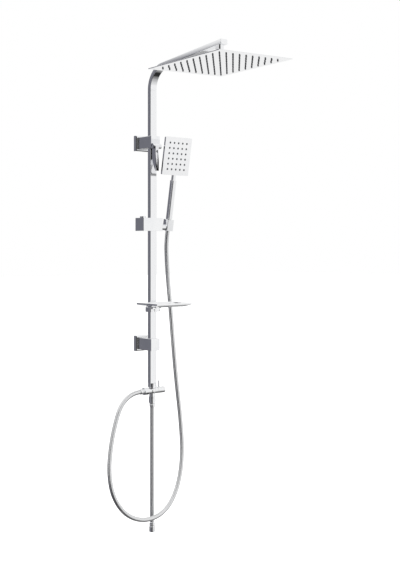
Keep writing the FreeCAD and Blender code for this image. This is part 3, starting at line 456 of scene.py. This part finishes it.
# ---- riser and arm --------------------------------------------------------------------------
def tube_outline(inset, corner_steps=5):
    """The tube's rounded section, drawn inset from its outer face."""
    half_x = TUBE_SIZE[0] / 2 - inset
    half_y = TUBE_SIZE[1] / 2 - inset
    corner = max(TUBE_CORNER - inset, 0.0005)
    outline = []
    for quarter in range(4):
        turn = quarter * math.pi / 2
        sign_x = 1 if quarter in (0, 3) else -1
        sign_y = 1 if quarter in (0, 1) else -1
        for i in range(corner_steps + 1):
            a = turn + i / corner_steps * math.pi / 2
            x = sign_x * (half_x - corner) + corner * math.cos(a)
            y = sign_y * (half_y - corner) + corner * math.sin(a)
            outline.append((x, y))
    return outline


def tube_stations():
    """(y and z of the tube's centre, angle turned so far) from the foot to the arm's end."""
    riser_rings, bend_rings, arm_rings = 24, 49, 10
    stations = [(TUBE_Y, z, 0.0) for z in np.linspace(TUBE_FOOT, BEND_START, riser_rings)]
    for a in np.linspace(0, BEND_ANGLE, bend_rings)[1:]:
        y = TUBE_Y - BEND_RADIUS * (1 - math.cos(a))
        z = BEND_START + BEND_RADIUS * math.sin(a)
        stations.append((y, z, a))
    y, z, a = stations[-1]
    for run in np.linspace(0, ARM_LENGTH, arm_rings)[1:]:
        stations.append((y - run * math.sin(a), z + run * math.cos(a), a))
    return stations


def tube_rings(inset, stations):
    rings = []
    for y, z, a in stations:
        ring = []
        for across_x, deep in tube_outline(inset):
            ring.append(Vector((across_x, y + deep * math.cos(a), z + deep * math.sin(a))))
        rings.append(ring)
    return rings


def make_riser():
    stations = tube_stations()
    outer = tube_rings(0, stations)
    inner = tube_rings(TUBE_WALL, stations)
    points, faces = skin(outer + inner[::-1], closed_path=True)
    riser = piece("riser_tube", points, faces, TUBE_FINISH, crease=50)
    flat_sides = riser.modifiers.new("flat_sides", "WEIGHTED_NORMAL")
    flat_sides.weight = 100
    flat_sides.keep_sharp = True
    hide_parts("column_tube")
    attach(riser, "column")


# ---- hoses ----------------------------------------------------------------------------------
def route_line(name, route):
    """Points along the smooth line that the route's points steer."""
    data = bpy.data.curves.new(name, "CURVE")
    data.dimensions = "3D"
    data.resolution_u = 48
    spline = data.splines.new("NURBS")
    spline.points.add(len(route) - 1)
    for point, place in zip(spline.points, route):
        point.co = (*place, 1)
    spline.order_u = 3
    spline.use_endpoint_u = True
    line = bpy.data.objects.new(name, data)
    bpy.context.scene.collection.objects.link(line)
    bpy.context.view_layer.update()
    mesh = bpy.data.meshes.new_from_object(line)
    points = [v.co.copy() for v in mesh.vertices]
    bpy.data.objects.remove(line)
    bpy.data.meshes.remove(mesh)
    return points


def evenly(points, step):
    """The same line, as points a step apart."""
    line = np.array(points)
    run = np.concatenate([[0], np.cumsum(np.linalg.norm(np.diff(line, axis=0), axis=1))])
    places = np.linspace(0, run[-1], max(2, round(run[-1] / step) + 1))
    spaced = np.stack([np.interp(places, run, line[:, i]) for i in range(3)], axis=1)
    return [Vector(p) for p in spaced], places


def wound_hose(name, route, radius):
    """A hose of wound steel strip: one long screw-shaped groove round it. Gives it and its line."""
    steps_per_turn = 5
    sides = 18
    line = route_line(name + "_route", route)
    spaced, places = evenly(line, HOSE_PITCH / steps_per_turn)
    forward = (spaced[1] - spaced[0]).normalized()
    side = across(forward)[0]
    rings = []
    for i, centre in enumerate(spaced):
        ahead = spaced[min(i + 1, len(spaced) - 1)]
        behind = spaced[max(i - 1, 0)]
        forward = (ahead - behind).normalized()
        side = (side - forward * side.dot(forward)).normalized()
        other = forward.cross(side)
        ring = []
        for j in range(sides):
            a = 2 * math.pi * j / sides
            turn = (places[i] / HOSE_PITCH + j / sides) % 1
            depth = HOSE_GROOVE * (1 - math.sin(math.pi * turn) ** 0.5)
            out = side * math.cos(a) + other * math.sin(a)
            ring.append(centre + out * (radius - depth))
        rings.append(ring)
    points, faces = skin(rings)
    return piece(name, points, faces, FINISHES["hose_metal"]), line


def crimp_sleeve(name, foot, direction):
    """The pressed sleeve that holds a hose to its nut."""
    profile = [
        (-0.0004, 0.0066),
        (-0.0004, 0.0083),
        (0.0002, 0.0088),
        (0.0030, 0.0088),
        (0.0036, 0.0083),
        (0.0046, 0.0083),
        (0.0052, 0.0088),
        (0.0076, 0.0088),
        (0.0082, 0.0083),
        (0.0092, 0.0083),
        (0.0098, 0.0087),
        (0.0128, 0.0084),
        (0.0140, 0.0078),
        (0.0142, 0.0070),
        (0.0138, 0.0066),
    ]
    sleeve = lathe(name, foot, direction, profile, FINISHES["chrome_brass"])
    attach(sleeve, "column")
    return sleeve


def make_handset_hose():
    hose, line = wound_hose("handset_hose_wound", HOSE_ROUTE, HOSE_RADIUS)
    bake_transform(hose)
    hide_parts("handset_hose")
    sleeve = crimp_sleeve("outlet_sleeve", Vector(DIVERTER_OUTLET), Vector((-1, 0, 0)))


def make_inlet_hose():
    length = INLET_TOP - INLET_END
    route = [(0, TUBE_Y, INLET_TOP - length * share) for share in STRAIGHT_SHARES]
    hose, line = wound_hose("inlet_hose_wound", route, HOSE_RADIUS)
    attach(hose, "column")
    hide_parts("inlet_hose")
    down = Vector((0, 0, -1))
    top = crimp_sleeve("inlet_top_sleeve", Vector(route[0]), down)
    foot = crimp_sleeve("inlet_foot_sleeve", Vector(route[-1]), -down)


def make_drawn_hose():
    """The hose's last stretch, which shows when the handset is lifted out of its holder."""
    foot = HOLDER_PIVOT + HANDSET_AXIS * NUT_FOOT
    top = HOLDER_PIVOT + HANDSET_AXIS * DRAWN_HOSE_END
    route = [foot.lerp(top, share) for share in STRAIGHT_SHARES]
    hose, _line = wound_hose("hose_in_handset", route, DRAWN_HOSE_RADIUS)
    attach(hose, "holder")


# ---- floor, light and camera ----------------------------------------------------------------
def pale_floor():
    low = cad_box[0].z - FLOOR_DROP
    half = FLOOR_SIDE / 2
    corners = [(-half, -half, low), (half, -half, low), (half, half, low), (-half, half, low)]
    mesh = bpy.data.meshes.new("floor")
    mesh.from_pydata(corners, [], [(0, 1, 2, 3)])
    finish = Finish("pale_floor", (0.92, 0.92, 0.92), 0.8)
    finish.tint(finish.noise(3, 3), (0.91, 0.91, 0.91), (0.93, 0.93, 0.93))
    finish.set("Emission Color", (1, 1, 1, 1))
    finish.set("Emission Strength", 0.4)
    mesh.materials.append(finish.material)
    floor = bpy.data.objects.new("floor", mesh)
    bpy.context.scene.collection.objects.link(floor)
    floor.visible_glossy = False


def ramp_of(tree, value, stops):
    """A smooth ramp: stops are (place from 0 to 1, grey or colour)."""
    node = tree.nodes.new("ShaderNodeValToRGB")
    node.color_ramp.interpolation = "EASE"
    for i, (place, shade) in enumerate(stops):
        colour = shade if isinstance(shade, tuple) else (shade, shade, shade)
        element = node.color_ramp.elements[i] if i < 2 else node.color_ramp.elements.new(place)
        element.position = place
        element.color = (*colour, 1)
    tree.links.new(value, node.inputs["Fac"])
    return node.outputs["Color"]


# The studio that the chrome mirrors, by compass angle from +X towards +Y, in degrees.
SLATE = (0.17, 0.172, 0.20)
STUDIO_ROUND = [
    (0, 0.80),
    (22, 0.93),
    (72, 0.93),
    (96, 0.30),
    (108, SLATE),
    (150, SLATE),
    (185, (0.25, 0.252, 0.275)),
    (207, (0.30, 0.302, 0.32)),
    (254, 0.55),
    (278, 0.97),
    (335, 0.97),
    (360, 0.80),
]
# How its front and its back darken towards the floor, by the ray's upward share.
FRONT_DROP = [
    (-1.0, 0.60),
    (-0.92, 0.10),
    (-0.82, 0.03),
    (-0.76, 0.03),
    (-0.71, 0.25),
    (-0.56, 0.55),
    (-0.34, 0.80),
    (-0.15, 1.0),
]
BACK_DROP = [
    (-1.0, 0.70),
    (-0.70, 0.35),
    (-0.315, 0.42),
    (-0.29, 1.0),
]
OVERHEAD = [(0.185, 0.0), (0.22, 1.0)]      # where the white ceiling takes over
# A black strip behind the viewer, and how high it reaches.
STRIP_ROUND = [(0, 0.0), (207, 0.0), (214, 1.0), (246, 1.0), (254, 0.0), (360, 0.0)]
STRIP_RISE = [(0.35, 1.0), (0.5, 0.0)]


def mixed(tree, kind, factor, first, second):
    node = tree.nodes.new("ShaderNodeMix")
    node.data_type = "RGBA"
    node.blend_type = kind
    for value, socket in ((factor, 0), (first, 6), (second, 7)):
        if isinstance(value, bpy.types.NodeSocket):
            tree.links.new(value, node.inputs[socket])
        else:
            node.inputs[socket].default_value = value
    return node.outputs[2]


def math_node(tree, operation, *values):
    node = tree.nodes.new("ShaderNodeMath")
    node.operation = operation
    for i, value in enumerate(values):
        if isinstance(value, bpy.types.NodeSocket):
            tree.links.new(value, node.inputs[i])
        else:
            node.inputs[i].default_value = value
    return node.outputs[0]


def by_rise(tree, rise, stops):
    return ramp_of(tree, rise, [((z + 1) / 2, shade) for z, shade in stops])


def soft_studio():
    """A white studio with a slate wall to the left and a black strip behind the viewer."""
    world = bpy.data.worlds.new("studio")
    bpy.context.scene.world = world
    world.use_nodes = True
    tree = world.node_tree
    background = tree.nodes["Background"]
    direction = tree.nodes.new("ShaderNodeTexCoord").outputs["Generated"]
    split = tree.nodes.new("ShaderNodeSeparateXYZ")
    tree.links.new(direction, split.inputs["Vector"])
    angle = math_node(tree, "ARCTAN2", split.outputs["Y"], split.outputs["X"])
    share = math_node(tree, "WRAP", math_node(tree, "DIVIDE", angle, 2 * math.pi), 1, 0)
    round_about = ramp_of(tree, share, [(a / 360, shade) for a, shade in STUDIO_ROUND])
    rise = math_node(tree, "MULTIPLY_ADD", split.outputs["Z"], 0.5, 0.5)
    to_back = ramp_of(tree, split.outputs["Y"], [(0.0, 0.0), (0.3, 1.0)])
    front = by_rise(tree, rise, FRONT_DROP)
    back = by_rise(tree, rise, BACK_DROP)
    up_down = mixed(tree, "MIX", to_back, front, back)
    shaded = mixed(tree, "MULTIPLY", 1.0, round_about, up_down)
    lit = mixed(tree, "MIX", by_rise(tree, rise, OVERHEAD), shaded, (0.96, 0.96, 0.96, 1))
    strip = ramp_of(tree, share, [(a / 360, dark) for a, dark in STRIP_ROUND])
    strip = math_node(tree, "MULTIPLY", strip, by_rise(tree, rise, STRIP_RISE))
    lit = mixed(tree, "MIX", strip, lit, (0.02, 0.02, 0.02, 1))
    seen = tree.nodes.new("ShaderNodeLightPath").outputs["Is Camera Ray"]
    tree.links.new(mixed(tree, "MIX", seen, lit, (1, 1, 1, 1)), background.inputs["Color"])
    background.inputs["Strength"].default_value = 1.0
    bpy.context.scene.view_settings.view_transform = "Standard"


def soft_light(name, place, aim, side, watts):
    data = bpy.data.lights.new(name, "AREA")
    data.shape = "DISK"
    data.size = side
    data.energy = watts
    light = bpy.data.objects.new(name, data)
    bpy.context.scene.collection.objects.link(light)
    light.location = place
    light.rotation_euler = (Vector(aim) - Vector(place)).to_track_quat("-Z", "Y").to_euler()
    light.visible_camera = False
    light.visible_glossy = False


def make_camera():
    data = bpy.data.cameras.new("camera")
    data.lens = LENS_MM
    data.sensor_width = SENSOR_MM
    data.shift_y = CAMERA_SHIFT
    data.clip_end = 200
    camera = bpy.data.objects.new("camera", data)
    bpy.context.scene.collection.objects.link(camera)
    camera.location = CAMERA_PLACE
    camera.rotation_euler = (math.pi / 2, 0, CAMERA_TURN)
    bpy.context.scene.camera = camera


make_riser()
make_handset_hose()
make_inlet_hose()
make_drawn_hose()
pale_floor()
soft_studio()
soft_light("key_light", (1.6, -2.6, 2.2), (0, -0.15, 0.2), 1.6, 60)
soft_light("fill_light", (-2.4, -1.6, 1.2), (0, -0.1, 0.1), 1.8, 25)
make_camera()
